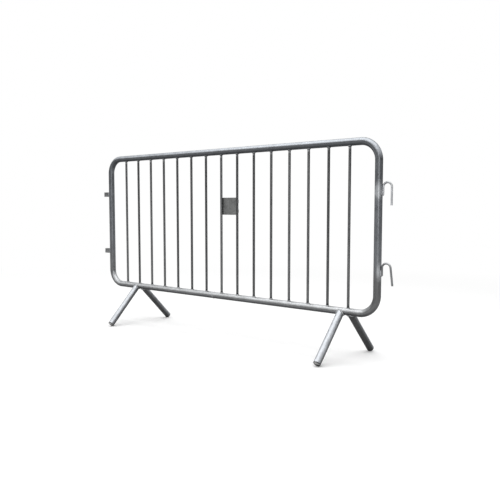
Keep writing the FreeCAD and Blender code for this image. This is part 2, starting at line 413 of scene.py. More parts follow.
def lathe_rings(profile: Iterable[tuple[float, float]], centre: Vector, axis: Vector,
                across: Vector, segments: int) -> list[list[Vector]]:
    """The rings of a turned form.

    Args:
        profile: (distance along the axis, radius) from one end to the other.
        centre: the axis's zero point.
        axis: unit vector along the axis.
        across: unit vector square to the axis.
        segments: points in each ring.

    Returns:
        One ring of points for each entry of the profile.
    """
    third = axis.cross(across)
    rings = []
    for along, radius in profile:
        rings.append([centre + axis * along
                      + (across * math.cos(a) + third * math.sin(a)) * radius
                      for a in circle_angles(segments)])
    return rings


def arc_points(centre: Vector, start: Vector, towards: Vector, angle: float,
               steps: int) -> list[Vector]:
    """Points along a circular arc.

    Args:
        centre: the arc's centre.
        start: vector from the centre to the arc's first point.
        towards: vector of the same length, a quarter turn further on.
        angle: how far the arc goes, in radians.
        steps: how many equal parts it has.

    Returns:
        steps + 1 points.
    """
    return [centre + start * math.cos(angle * i / steps) + towards * math.sin(angle * i / steps)
            for i in range(steps + 1)]


def straight_points(start: Vector, end: Vector, spacing: float) -> list[Vector]:
    """Evenly spaced points from start to end, both included."""
    steps = max(1, round((end - start).length / spacing))
    return [start.lerp(end, i / steps) for i in range(steps + 1)]


@dataclass
class Path:
    """A line that a section is swept along."""

    points: list[Vector]
    girths: list[float] | None = None  # the section's size at each point; 1 is its full radius
    closed: bool = False


def path_mesh(name: str, paths: Sequence[Path]) -> bpy.types.Mesh:
    """The paths as one mesh of edges, each point with its girth.

    Args:
        name: the mesh's name.
        paths: the lines to put in it.

    Returns:
        A host for the swept section.
    """
    points: list[Vector] = []
    edges: list[tuple[int, int]] = []
    girths: list[float] = []
    for path in paths:
        first = len(points)
        count = len(path.points)
        points.extend(path.points)
        girths.extend(path.girths or [1.0] * count)
        edges.extend((first + i, first + i + 1) for i in range(count - 1))
        if path.closed:
            edges.append((first + count - 1, first))
    mesh = bpy.data.meshes.new(name)
    mesh.from_pydata(points, edges, [])
    mesh.attributes.new("girth", "FLOAT", "POINT").data.foreach_set("value", girths)
    return mesh


RUN_STEP = 0.4 * MM  # from one point of a straight weld run to the next
RUN_END_GIRTH = 0.12


def weld_run(start: Vector, end: Vector, taper: int = 6) -> Path:
    """A straight weld run that thins to nothing at both its ends.

    Args:
        start: where the run starts.
        end: where it ends.
        taper: how many points each end takes to reach the full girth.

    Returns:
        The run as a path.
    """
    points = straight_points(start, end, RUN_STEP)
    girths = []
    for i in range(len(points)):
        from_end = min(i, len(points) - 1 - i, taper) / taper
        swell = math.sqrt(1 - (1 - from_end) ** 2)
        girths.append(RUN_END_GIRTH + (1 - RUN_END_GIRTH) * swell)
    return Path(points, girths)


# ---------------------------------------------------------------------------------------------
# Geometry node groups
# ---------------------------------------------------------------------------------------------


class SweptSection(GeometryTree):
    """A round section swept along each line of its host: a rod, or a weld bead with ripples."""

    LUMP_SCALE = 260.0
    LUMP_DETAIL = 2.0

    def __init__(self) -> None:
        """Builds the group."""
        super().__init__("swept_section")
        radius = self.input("Radius", "Float", 0.005)
        segments = self.input("Segments", "Int", 24)
        pitch = self.input("Ripple Pitch", "Float", 0.002)
        height = self.input("Ripple Height", "Float", 0.0)
        uneven = self.input("Unevenness", "Float", 0.0)
        seed = self.input("Seed", "Float", 0.0)
        curve = self.output("GeometryNodeMeshToCurve", {"Mesh": self.start.outputs[0]})
        length = self.add("GeometryNodeSplineParameter").outputs["Length"]
        sized = self.output("GeometryNodeSetCurveRadius",
                            {"Curve": curve, "Radius": self.named("girth")})
        line = self.stored(sized, "along", length, "POINT")
        section = self.circle(segments, radius)
        swept = self.output("GeometryNodeCurveToMesh",
                            {"Curve": line, "Profile Curve": section, "Fill Caps": True})
        turn = self.math("MULTIPLY", self.math("DIVIDE", self.named("along"), pitch), math.pi)
        ripple = self.math("MULTIPLY", self.math("ABSOLUTE", self.math("SINE", turn)), height)
        noise = self.output("ShaderNodeTexNoise",
                            {"W": seed, "Scale": self.LUMP_SCALE, "Detail": self.LUMP_DETAIL},
                            noise_dimensions="4D")
        lumps = self.math("MULTIPLY", self.math("SUBTRACT", noise, 0.5), uneven)
        normal = self.output("GeometryNodeInputNormal")
        offset = self.scaled(normal, self.math("ADD", ripple, lumps))
        self.finish(self.output("GeometryNodeSetPosition",
                                {"Geometry": swept, "Offset": offset}))


class RowOfCopies(GeometryTree):
    """Copies of the host in a row along X, each with a tone of its own, some turned half round."""

    TONE_SEED_STEP = 7  # keeps the tones' draws apart from the turns'

    def __init__(self) -> None:
        """Builds the group."""
        super().__init__("row_of_copies")
        count = self.input("Count", "Int", 2)
        first = self.input("First", "Float", 0.0)
        spacing = self.input("Spacing", "Float", 0.1)
        seed = self.input("Seed", "Int", 0)
        start = self.output("ShaderNodeCombineXYZ", {0: first})
        step = self.output("ShaderNodeCombineXYZ", {0: spacing})
        line = self.output("GeometryNodeMeshLine",
                           {"Count": count, "Start Location": start, "Offset": step})
        turned = self.math("ROUND", self.drawn(seed))
        rotation = self.output("ShaderNodeCombineXYZ",
                               {2: self.math("MULTIPLY", turned, math.pi)})
        copies = self.output("GeometryNodeInstanceOnPoints",
                             {"Points": line, "Instance": self.start.outputs[0],
                              "Rotation": rotation})
        tone = self.drawn(self.math("ADD", seed, self.TONE_SEED_STEP))
        self.finish(self.stored(copies, "tone", tone, "INSTANCE"))

    def drawn(self, seed: Socket) -> Socket:
        """A random number for each copy.

        Args:
            seed: picks the set of numbers.

        Returns:
            The copy's number, from 0 to 1.
        """
        index = self.output("GeometryNodeInputIndex")
        node = self.add("FunctionNodeRandomValue",
                        {"Min": 0.0, "Max": 1.0, "ID": index, "Seed": seed}, data_type="FLOAT")
        return node.outputs[1]


class BentFrame(GeometryTree):
    """The frame tube: a round section swept round an upright rectangle, and drilled below."""

    DRILL_SIDES = 48
    BORE_LENGTH = 8.0  # of the bore opened over each hole, in hole radii

    def __init__(self) -> None:
        """Builds the group."""
        super().__init__("bent_frame")
        width = self.input("Width", "Float", 2.0)
        height = self.input("Height", "Float", 1.0)
        bend = self.input("Bend Radius", "Float", 0.1)
        steps = self.input("Bend Steps", "Int", 24)
        radius = self.input("Radius", "Float", 0.02)
        segments = self.input("Segments", "Int", 64)
        centre = self.input("Centre", "Vector")
        wall = self.input("Wall", "Float", 0.0015)
        hole = self.input("Hole Radius", "Float", 0.004)
        spacing = self.input("Hole Spacing", "Float", 0.36)
        first_hole = self.input("First Hole", "Vector")
        outline = self.output("GeometryNodeCurvePrimitiveQuadrilateral",
                              {"Width": width, "Height": height})
        rounded = self.output("GeometryNodeFilletCurve",
                              {"Curve": outline, "Count": steps, "Radius": bend}, mode="POLY")
        upright = self.moved(rounded, (math.pi / 2, 0.0, 0.0), centre)
        swept = self.output("GeometryNodeCurveToMesh",
                            {"Curve": upright, "Profile Curve": self.circle(segments, radius)})
        step = self.output("ShaderNodeCombineXYZ", {0: spacing})
        places = self.output("GeometryNodeMeshLine",
                             {"Count": 2, "Start Location": first_hole, "Offset": step})
        bore = self.cylinder(self.math("SUBTRACT", radius, wall),
                             self.math("MULTIPLY", hole, self.BORE_LENGTH))
        sunk = self.output("ShaderNodeCombineXYZ", {2: self.math("MULTIPLY", radius, -1.0)})
        cutters = (self.moved(bore, (0.0, math.pi / 2, 0.0), (0.0, 0.0, 0.0)),
                   self.moved(self.cylinder(hole, radius), (0.0, 0.0, 0.0), sunk))
        drilled = self.add("GeometryNodeMeshBoolean", {"Mesh 1": swept},
                           operation="DIFFERENCE", solver="EXACT")
        for cutter in cutters:
            copies = self.output("GeometryNodeInstanceOnPoints",
                                 {"Points": places, "Instance": cutter})
            real = self.output("GeometryNodeRealizeInstances", {"Geometry": copies})
            self.nodes.links.new(real, drilled.inputs["Mesh 2"])
        self.finish(drilled.outputs["Mesh"])

    def cylinder(self, radius: Socket, depth: Socket) -> Socket:
        """A closed cylinder, upright at the origin."""
        inputs = {"Vertices": self.DRILL_SIDES, "Radius": radius, "Depth": depth}
        return self.output("GeometryNodeMeshCylinder", inputs)

    def moved(self, geometry: Socket, turn: Point, shift: Any) -> Socket:
        """A geometry turned about the origin, then shifted."""
        inputs = {"Geometry": geometry, "Rotation": turn, "Translation": shift}
        return self.output("GeometryNodeTransform", inputs)


# ---------------------------------------------------------------------------------------------
# Finishes
# ---------------------------------------------------------------------------------------------


def empty_material(name: str) -> tuple[bpy.types.Material, Tree]:
    """A new material, and its tree with no node in it.

    Args:
        name: the material's name.

    Returns:
        The material and its tree.
    """
    material = bpy.data.materials.new(name)
    material.use_nodes = True
    material.node_tree.nodes.clear()
    return material, Tree(material.node_tree)


def spread(contrast: float) -> Span:
    """The span that lies this far to each side of one."""
    return 1 - contrast, 1 + contrast


@dataclass(frozen=True)
class Patch:
    """An area of the zinc with a tone of its own: a lighter patch over a weld, or a patch of
    painted shade.
    """

    centre: Point
    radius: float
    stretch: float = 1.75  # how many times taller than wide it is
    colour: Colour = (0.42, 0.435, 0.452)
    core: float = 0.2  # how much of the radius is fully covered
    raggedness: float = 0.9  # how far its edge wanders, in radii
    roughening: float = 0.04
    dulling: float = 0.12


@dataclass(frozen=True)
class Galvanised:
    """Hot-dip zinc on steel: crystals, mottling, runs, and painted light on upward faces and
    painted shade on undersides.
    """

    name: str
    washed: Colour = (0.52, 0.532, 0.543)  # painted light: upward faces lighter than the sides
    plain: Colour = (0.17, 0.173, 0.177)
    underside_painted_shade: Colour = (0.066, 0.067, 0.069)  # painted shade: undersides darker than the sides
    washed_span: Span = (0.02, 0.28)  # the normal's z where the painted light starts and where it is full
    underside_shade_span: Span = (-0.05, -0.55)
    upper_tint: Colour | None = None  # the film on the zinc, clear of the ground's splashes
    upper_span: Span = (0.3, 0.6)  # the heights between which that film comes in
    top_rail_darkening: float = 0.0  # how much darker the top rail's zinc is made
    top_rail_span: Span = (0.95, 1.07)
    tone_contrast: float = 0.0  # how much a row's copies differ
    crystal: float = 0.011  # size of the zinc's crystals
    crystal_contrast: float = 0.07
    warp_scale: float = 90.0  # of the noise that bends the crystals' edges
    mottle: float = 0.055  # size of the cloudy patches
    mottle_span: Span = (0.28, 0.72)
    mottle_contrast: float = 0.10
    run_scale: float = 130.0
    run_length: float = 0.09  # the runs' width over their length
    run_span: Span = (0.35, 0.75)
    run_level: Span = (1.04, 0.94)
    grain_scale: float = 900.0
    roughness: float = 0.36
    roughness_spread: float = 0.05
    crystal_roughness: float = 0.08
    bump: float = 0.00003
    bump_strength: float = 0.55
    mottle_height: float = 3.0  # in the bump, against the grain's height of one
    crystal_height: float = 0.35
    metallic: float = 0.85
    dark_rim_tint: Colour = (0.46, 0.46, 0.47)  # grazing reflections tinted dark: painted shade along edges that turn away
    patches: tuple[Patch, ...] = ()  # where two meet, the later one covers the earlier

    def build(self) -> bpy.types.Material:
        """The finish as a material.

        Returns:
            A new material with its whole node tree.
        """
        material, tree = empty_material(self.name)
        place = tree.add("ShaderNodeTexCoord").outputs["Object"]
        cell = self.crystal_cells(tree, place)
        cloud = tree.noise(place, 1 / self.mottle, detail=6.0, roughness=0.62)[0]
        colour = tree.vector_math("MULTIPLY", self.painted_light_by_facing(tree, place),
                                  self.brightness(tree, place, cell, cloud))
        rough = tree.math("ADD", self.roughness - self.roughness_spread,
                          tree.math("MULTIPLY", cloud, 2 * self.roughness_spread))
        uneven = tree.math("MULTIPLY", tree.math("SUBTRACT", cell, 0.5), self.crystal_roughness)
        rough = tree.math("ADD", rough, uneven)
        metallic: Any = self.metallic
        for patch in self.patches:
            cover = self.patch_cover(tree, place, cloud, patch)
            colour = tree.mix(cover, colour, patch.colour)
            rough = tree.math("ADD", rough, tree.math("MULTIPLY", cover, patch.roughening))
            metallic = tree.math("SUBTRACT", metallic,
                                 tree.math("MULTIPLY", cover, patch.dulling))
        shader = tree.output("ShaderNodeBsdfPrincipled",
                             {"Base Color": colour, "Roughness": rough, "Metallic": metallic,
                              "Normal": self.relief(tree, place, cell, cloud),
                              "Specular Tint": (*self.dark_rim_tint, 1.0)})
        tree.add("ShaderNodeOutputMaterial", {"Surface": shader})
        return material

    def painted_light_by_facing(self, tree: Tree, place: Socket) -> Socket:
        """The colour of each face, with painted light on upward faces and painted shade on
        undersides.

        Args:
            tree: the material's tree.
            place: the surface's coordinates.

        Returns:
            The colour, without its pattern.
        """
        normal = tree.add("ShaderNodeNewGeometry").outputs["Normal"]
        facing = tree.along_axis(normal, "Z")
        # Painted shade on faces that turn down, painted light on faces that turn up, by the normal
        # alone.
        below = tree.mix(tree.ramp(facing, self.underside_shade_span), self.plain, self.underside_painted_shade)
        colour = tree.mix(tree.ramp(facing, self.washed_span), below, self.washed)
        if self.upper_tint is None:
            return colour
        upper = tree.ramp(tree.along_axis(place, "Z"), self.upper_span)
        return tree.vector_math("MULTIPLY", colour,
                                tree.mix(upper, (1.0, 1.0, 1.0), self.upper_tint))

    def crystal_cells(self, tree: Tree, place: Socket) -> Socket:
        """A number of its own for each zinc crystal, from 0 to 1.

        Args:
            tree: the material's tree.
            place: the surface's coordinates.

        Returns:
            The crystal's number.
        """
        warp = tree.noise(place, self.warp_scale, detail=2.0)["Color"]
        shift = tree.scaled(tree.vector_math("SUBTRACT", warp, (0.5, 0.5, 0.5)),
                            self.crystal * 0.5)
        moved = tree.vector_math("ADD", place, shift)
        crystals = tree.add("ShaderNodeTexVoronoi",
                            {"Vector": moved, "Scale": 1 / self.crystal, "Randomness": 1.0})
        return tree.output("ShaderNodeSeparateColor", {0: crystals.outputs["Color"]})

    def brightness(self, tree: Tree, place: Socket, cell: Socket, cloud: Socket) -> Socket:
        """How bright each spot is against its face's colour with painted light and shade.

        Args:
            tree: the material's tree.
            place: the surface's coordinates.
            cell: the crystal's number.
            cloud: the mottling noise.

        Returns:
            A factor near one.
        """
        spangle = tree.ramp(cell, (0.0, 1.0), spread(self.crystal_contrast))
        mottling = tree.ramp(cloud, self.mottle_span, spread(self.mottle_contrast))
        stretched = tree.vector_math("MULTIPLY", place, (1.0, 1.0, self.run_length))
        streaks = tree.noise(stretched, self.run_scale, detail=3.0)[0]
        runs = tree.ramp(streaks, self.run_span, self.run_level)
        level = tree.math("MULTIPLY", tree.math("MULTIPLY", spangle, mottling), runs)
        if self.top_rail_darkening:
            darker_top = tree.ramp(tree.along_axis(place, "Z"), self.top_rail_span,
                               (1.0, 1 - self.top_rail_darkening))
            level = tree.math("MULTIPLY", level, darker_top)
        if self.tone_contrast:
            tone = tree.add("ShaderNodeAttribute", attribute_name="tone").outputs["Fac"]
            level = tree.math("MULTIPLY", level,
                              tree.ramp(tone, (0.0, 1.0), spread(self.tone_contrast)))
        return level

    def patch_cover(self, tree: Tree, place: Socket, cloud: Socket, patch: Patch) -> Socket:
        """How much of each spot a patch covers.

        Args:
            tree: the material's tree.
            place: the surface's coordinates.
            cloud: the mottling noise, which makes the patch's edge ragged.
            patch: the patch.

        Returns:
            0 outside the patch, 1 at its core.
        """
        away = tree.vector_math("MULTIPLY", tree.vector_math("SUBTRACT", place, patch.centre),
                                (1.0, 1.0, 1 / patch.stretch))
        ragged = tree.math("MULTIPLY", tree.math("SUBTRACT", cloud, 0.5),
                           patch.radius * patch.raggedness)
        reach = tree.math("ADD", tree.vector_measure("LENGTH", away), ragged)
        return tree.ramp(reach, (patch.radius, patch.radius * patch.core))

    def relief(self, tree: Tree, place: Socket, cell: Socket, cloud: Socket) -> Socket:
        """The surface's fine unevenness.

        Args:
            tree: the material's tree.
            place: the surface's coordinates.
            cell: the crystal's number.
            cloud: the mottling noise.

        Returns:
            The bumped normal.
        """
        grain = tree.noise(place, self.grain_scale, detail=3.0)[0]
        fine = tree.math("ADD", tree.math("MULTIPLY", cell, self.crystal_height), grain)
        height = tree.math("ADD", tree.math("MULTIPLY", cloud, self.mottle_height), fine)
        return tree.output("ShaderNodeBump", {"Strength": self.bump_strength,
                                              "Distance": self.bump, "Height": height})


@dataclass(frozen=True)
class MouldedPlastic:
    """Black moulded plastic: scuffed where it meets the ground, with a painted highlight higher on
    its end face.
    """

    name: str
    colour: Colour = (0.014, 0.014, 0.015)
    scuffed: Colour = (0.085, 0.083, 0.078)
    # painted highlight on the plug's end face
    face_highlight: Colour = (0.34, 0.34, 0.335)
    scuff_height: float = 4 * MM
    face_highlight_span: Span = (7 * MM, 14 * MM)  # the heights between which the painted highlight comes in
    face_tilt: float = math.radians(45)  # the end faces' tilt from level, to front or rear
    face_span: Span = (0.93, 0.99)  # how squarely a spot faces that way before the painted highlight shows
    mark_scale: float = 240.0
    mark_span: Span = (0.45, 0.65)
    grain_scale: float = 1500.0
    roughness: Span = (0.42, 0.67)
    bump: float = 0.00008
    bump_strength: float = 0.4

    def build(self) -> bpy.types.Material:
        """The finish as a material.

        Returns:
            A new material with its whole node tree.
        """
        material, tree = empty_material(self.name)
        place = tree.add("ShaderNodeTexCoord").outputs["Object"]
        height = tree.along_axis(place, "Z")
        marks = tree.noise(place, self.mark_scale, detail=6.0, roughness=0.7)[0]
        worn = tree.math("MULTIPLY", tree.ramp(height, (self.scuff_height, 0.0)),
                         tree.ramp(marks, self.mark_span))
        # Painted highlight on the end face, away from the ground.
        face_light = tree.math("MULTIPLY", tree.ramp(self.squareness(tree), self.face_span),
                         tree.ramp(height, self.face_highlight_span))
        colour = tree.mix(worn, tree.mix(face_light, self.colour, self.face_highlight), self.scuffed)
        smoothest, roughest = self.roughness
        rough = tree.math("ADD", smoothest,
                          tree.math("MULTIPLY", marks, roughest - smoothest))
        grain = tree.noise(place, self.grain_scale, detail=2.0)[0]
        relief = tree.output("ShaderNodeBump", {"Strength": self.bump_strength,
                                                "Distance": self.bump, "Height": grain})
        shader = tree.output("ShaderNodeBsdfPrincipled",
                             {"Base Color": colour, "Roughness": rough, "Normal": relief})
        tree.add("ShaderNodeOutputMaterial", {"Surface": shader})
        return material

    def squareness(self, tree: Tree) -> Socket:
        """How squarely each spot faces as a plug's end face does.

        Args:
            tree: the material's tree.

        Returns:
            1 on the face itself, less to its sides.
        """
        normal = tree.add("ShaderNodeNewGeometry").outputs["Normal"]
        aside = tree.vector_math("ABSOLUTE", normal)
        face = (0.0, math.sin(self.face_tilt), math.cos(self.face_tilt))
        return tree.vector_measure("DOT_PRODUCT", aside, face)


# ---------------------------------------------------------------------------------------------
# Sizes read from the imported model
# ---------------------------------------------------------------------------------------------


def node_box(node: str) -> tuple[Vector, Vector]:
    """A CAD node's lowest and highest corner, as vectors."""
    low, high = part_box(node)
    return Vector(low), Vector(high)


@dataclass(frozen=True)
class Rectangle:
    """The frame tube's centre line and radius."""

    radius: float
    left: float
    right: float
    bottom: float
    top: float

    @classmethod
    def measured(cls, radius: float = 19 * MM) -> Rectangle:
        """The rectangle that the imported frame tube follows.

        Args:
            radius: the tube's outside radius.

        Returns:
            Its centre line's four sides.
        """
        low, high = node_box("frame_tube")
        return cls(radius, low.x + radius, high.x - radius, low.z + radius, high.z - radius)

    @property
    def middle(self) -> Vector:
        """The rectangle's centre."""
        return Vector(((self.left + self.right) / 2, 0.0, (self.bottom + self.top) / 2))

    @property
    def outer_right(self) -> float:
        """The right end post's outer face, where the hooks are welded."""
        return self.right + self.radius


class Workshop:
    """What every sub-assembly shares: the frame's sizes, the node groups and the finishes."""

    BEAD_SIDES = 18
    BEAD_UNEVENNESS = 0.35  # of the bead's radius

    def __init__(self) -> None:
        """Reads the frame and builds the groups and finishes."""
        self.rect = Rectangle.measured()
        self.sweep = SweptSection()
        self.row = RowOfCopies()
        self.bent_frame = BentFrame()
        # Each finish's top and underside colours are painted light and painted shade.
        self.frame_finish = Galvanised(
            "zinc_on_frame", patches=self.frame_patches(), top_rail_darkening=0.2,
            upper_tint=(0.97, 1.0, 1.045)).build()
        self.bar_finish = Galvanised(
            "zinc_on_bars", plain=(0.115, 0.117, 0.119), washed=(0.26, 0.265, 0.27),
            crystal=8 * MM, mottle=0.09, tone_contrast=0.26).build()
        self.leg_finish = Galvanised(
            "zinc_on_legs", washed=(0.55, 0.57, 0.6), plain=(0.152, 0.157, 0.165),
            underside_painted_shade=(0.055, 0.056, 0.057), washed_span=(0.08, 0.36),
            underside_shade_span=(0.05, -0.35), roughness=0.42, metallic=0.78).build()
        self.plate_finish = Galvanised(
            "zinc_on_plate", plain=(0.207, 0.211, 0.209), crystal=9 * MM, mottle=0.035,
            mottle_contrast=0.16, roughness=0.48).build()
        # Lit and shaded copies of one rod finish: painted light on the upper hook's rod, painted
        # shade on the lower one's.
        self.rod_finishes = {
            Level.UPPER: self.small_part("painted_lit_zinc_on_rod", plain=(0.53, 0.54, 0.56)),
            Level.LOWER: self.small_part("painted_shaded_zinc_on_rod", plain=(0.195, 0.2, 0.206))}
        self.strap_finish = self.small_part(
            "zinc_on_straps", plain=(0.215, 0.218, 0.222), washed=(0.4, 0.41, 0.42))
        self.weld_finish = Galvanised(
            "zinc_on_welds", washed=(0.52, 0.53, 0.54), plain=(0.3, 0.31, 0.32),
            underside_painted_shade=(0.14, 0.145, 0.15), crystal=4 * MM, mottle=0.012,
            roughness=0.42).build()
        self.plastic_finish = MouldedPlastic("black_moulded_plastic").build()

    def frame_patches(self) -> tuple[Patch, ...]:
        """The patches of the frame's zinc, which are all on its right end post.

        Returns:
            The patch of painted shade near its foot, and a lighter patch over each hook's weld.
        """
        rect = self.rect
        upper, lower = (node_box(f"hook_{level.value}")[0].z for level in Level)
        # Painted shade: a darker patch over the right post's foot and lower bend.
        painted_shade_patch = Patch((rect.right - 5 * MM, 0.0, rect.bottom + 95 * MM), 100 * MM, stretch=1.4,
                      colour=(0.116, 0.117, 0.119))
        # A lighter, duller patch over each hook's weld.
        upper_weld_patch = Patch((rect.outer_right - 13 * MM, -17 * MM, upper + 70 * MM), 30 * MM,
                           stretch=2.1)
        lower_weld_patch = Patch((rect.outer_right + 6 * MM, -12 * MM, lower + 70 * MM), 29 * MM,
                           stretch=2.1)
        return painted_shade_patch, upper_weld_patch, lower_weld_patch

    @staticmethod
    def small_part(name: str, **colours: Colour) -> bpy.types.Material:
        """The zinc on a rod or strap, where crystals and clouds are smaller.

        Args:
            name: the finish's name.
            colours: the Galvanised colours that differ.

        Returns:
            The material.
        """
        return Galvanised(name, crystal=6 * MM, mottle=0.03, **colours).build()

    def bead(self, name: str, paths: Sequence[Path], radius: float, seed: float,
             ripple: float = 0.28 * MM, pitch: float = 2.0 * MM) -> bpy.types.Object:
        """Weld beads along some paths, as one object.

        Args:
            name: the object's name.
            paths: each run's line.
            radius: the bead's radius where its girth is 1.
            seed: makes its unevenness its own.
            ripple: how far each ripple stands out.
            pitch: from one ripple to the next.

        Returns:
            The finished object.
        """
        values = {"Radius": radius, "Segments": self.BEAD_SIDES, "Ripple Pitch": pitch,
                  "Ripple Height": ripple, "Unevenness": radius * self.BEAD_UNEVENNESS,
                  "Seed": seed, "Material": self.weld_finish}
        return self.sweep.apply(path_mesh(f"{name}_paths", paths), name, values)


# ---------------------------------------------------------------------------------------------
# Sub-assemblies
# ---------------------------------------------------------------------------------------------


@dataclass
class Frame:
    """The bent frame tube and the weld that closes it."""

    shop: Workshop
    bend_radius: float = 95 * MM
    bend_steps: int = 28
    sides: int = 72
    wall: float = 1.5 * MM
    crease: float = math.radians(40)
    hole_radius: float = 4 * MM
    hole_offset: float = 180 * MM  # from the closing weld to each drain hole
    weld_crown: float = 1.2 * MM
    weld_width: float = 7 * MM
    weld_points: int = 220
    weld_ripple: float = 0.18 * MM
    weld_pitch: float = 2.2 * MM
    weld_seed: float = 3.1

    def build(self) -> None:
        low, high = node_box("frame_butt_weld")
        joint = Vector(((low.x + high.x) / 2, 0.0, self.shop.rect.bottom))
        declare(self.tube(joint), Slot.STEEL, "frame_tube")
        declare(self.closing_weld(joint), Slot.WELD, "frame_butt_weld")

    def tube(self, joint: Vector) -> bpy.types.Object:
        """The bent tube, with a drain hole each side of its joint.

        Args:
            joint: where the tube's two ends meet, on its centre line.

        Returns:
            The finished object.
        """
        rect = self.shop.rect
        first_hole = Vector((joint.x - self.hole_offset, 0.0, rect.bottom))
        values = {"Width": rect.right - rect.left, "Height": rect.top - rect.bottom,
                  "Bend Radius": self.bend_radius, "Bend Steps": self.bend_steps,
                  "Radius": rect.radius, "Segments": self.sides, "Centre": rect.middle,
                  "Wall": self.wall, "Hole Radius": self.hole_radius,
                  "Hole Spacing": 2 * self.hole_offset, "First Hole": first_hole,
                  "Material": self.shop.frame_finish}
        start = bpy.data.meshes.new("frame_start")
        tube = self.shop.bent_frame.apply(start, "frame_bent_tube", values)
        tube.data.set_sharp_from_angle(angle=self.crease)
        return tube

    def closing_weld(self, joint: Vector) -> bpy.types.Object:
        """The low bead round the tube's joint.

        Args:
            joint: where the tube's two ends meet, on its centre line.

        Returns:
            The finished object.
        """
        half = self.weld_width / 2
        section = (half**2 + self.weld_crown**2) / (2 * self.weld_crown)
        ring = self.shop.rect.radius + self.weld_crown - section
        points = [joint + Vector((0.0, math.cos(a), math.sin(a))) * ring
                  for a in circle_angles(self.weld_points)]
        return self.shop.bead("frame_closing_weld", [Path(points, closed=True)], section,
                              self.weld_seed, self.weld_ripple, self.weld_pitch)


@dataclass
class Infill:
    """The upright bars, and the fillet welds at both their ends."""

    shop: Workshop
    count: int = 15
    radius: float = 7 * MM
    sides: int = 36
    sunk: float = 0.3 * MM  # how far each end reaches into its rail
    row_seed: int = 5
    weld_radius: float = 2.5 * MM
    weld_gap: float = 0.7 * MM  # from the bar's skin out to the weld's line
    weld_lift: float = 0.5 * MM  # from the rail's skin out to the weld's line
    weld_points: int = 96
    weld_girth: float = 0.78  # of the bead across the rail
    weld_swell: float = 0.42  # how much is added to that along the rail
    weld_seeds: tuple[int, int] = (11, 23)  # bottom and top

    def rail_height(self, across: float) -> float:
        """How high the rail's surface is above its axis, this far across it."""
        return math.sqrt(self.shop.rect.radius**2 - across**2)

    def bar_mesh(self) -> bpy.types.Mesh:
        """One bar at x = 0.

        Returns:
            Its mesh, coped onto both rails.
        """
        rect = self.shop.rect
        foot = []
        for angle in circle_angles(self.sides):
            x, y = self.radius * math.cos(angle), self.radius * math.sin(angle)
            foot.append(Vector((x, y, rect.bottom + self.rail_height(y) - self.sunk)))
        head = [Vector((p.x, p.y, rect.top + rect.bottom - p.z)) for p in foot]
        shaft = [[Vector((p.x, p.y, height)) for p in foot]
                 for height in (rect.bottom + rect.radius * 2, rect.top - rect.radius * 2)]
        return mesh_from("bar", lambda work: skin_rings(work, [foot, *shaft, head]))

    def weld_path(self, rail: float, towards: int) -> Path:
        """The line of the fillet round a bar at x = 0.

        Args:
            rail: the height of the rail's axis.
            towards: 1 if the bar stands on the rail, -1 if it hangs below.

        Returns:
            A closed line, thicker along the rail than across it.
        """
        ring = self.radius + self.weld_gap
        points = []
        girths = []
        for angle in circle_angles(self.weld_points):
            across = ring * math.sin(angle)
            height = rail + towards * (self.rail_height(across) + self.weld_lift)
            points.append(Vector((ring * math.cos(angle), across, height)))
            girths.append(self.weld_girth + self.weld_swell * abs(math.cos(angle)) ** 3)
        return Path(points, girths, closed=True)

    def build(self) -> None:
        nodes = [f"infill_bar_{number:02d}" for number in range(1, self.count + 1)]
        first, last = (sum(node_box(node), Vector()).x / 2 for node in (nodes[0], nodes[-1]))
        row = {"Count": self.count, "First": first,
               "Spacing": (last - first) / (self.count - 1)}
        bars = self.shop.row.apply(
            self.bar_mesh(), "infill_bars",
            {**row, "Seed": self.row_seed, "Material": self.shop.bar_finish})
        declare(bars, Slot.STEEL, *nodes)
        rect = self.shop.rect
        rails = (("bottom", rect.bottom, 1), ("top", rect.top, -1))
        for (place, rail, towards), seed in zip(rails, self.weld_seeds):
            one = self.shop.bead(f"weld_{place}_one", [self.weld_path(rail, towards)],
                                 self.weld_radius, seed)
            mesh = one.data
            bpy.data.objects.remove(one)
            welds = self.shop.row.apply(
                mesh, f"bar_welds_along_{place}_rail",
                {**row, "Seed": seed, "Material": self.shop.weld_finish})
            declare(welds, Slot.WELD, f"bar_welds_{place}")


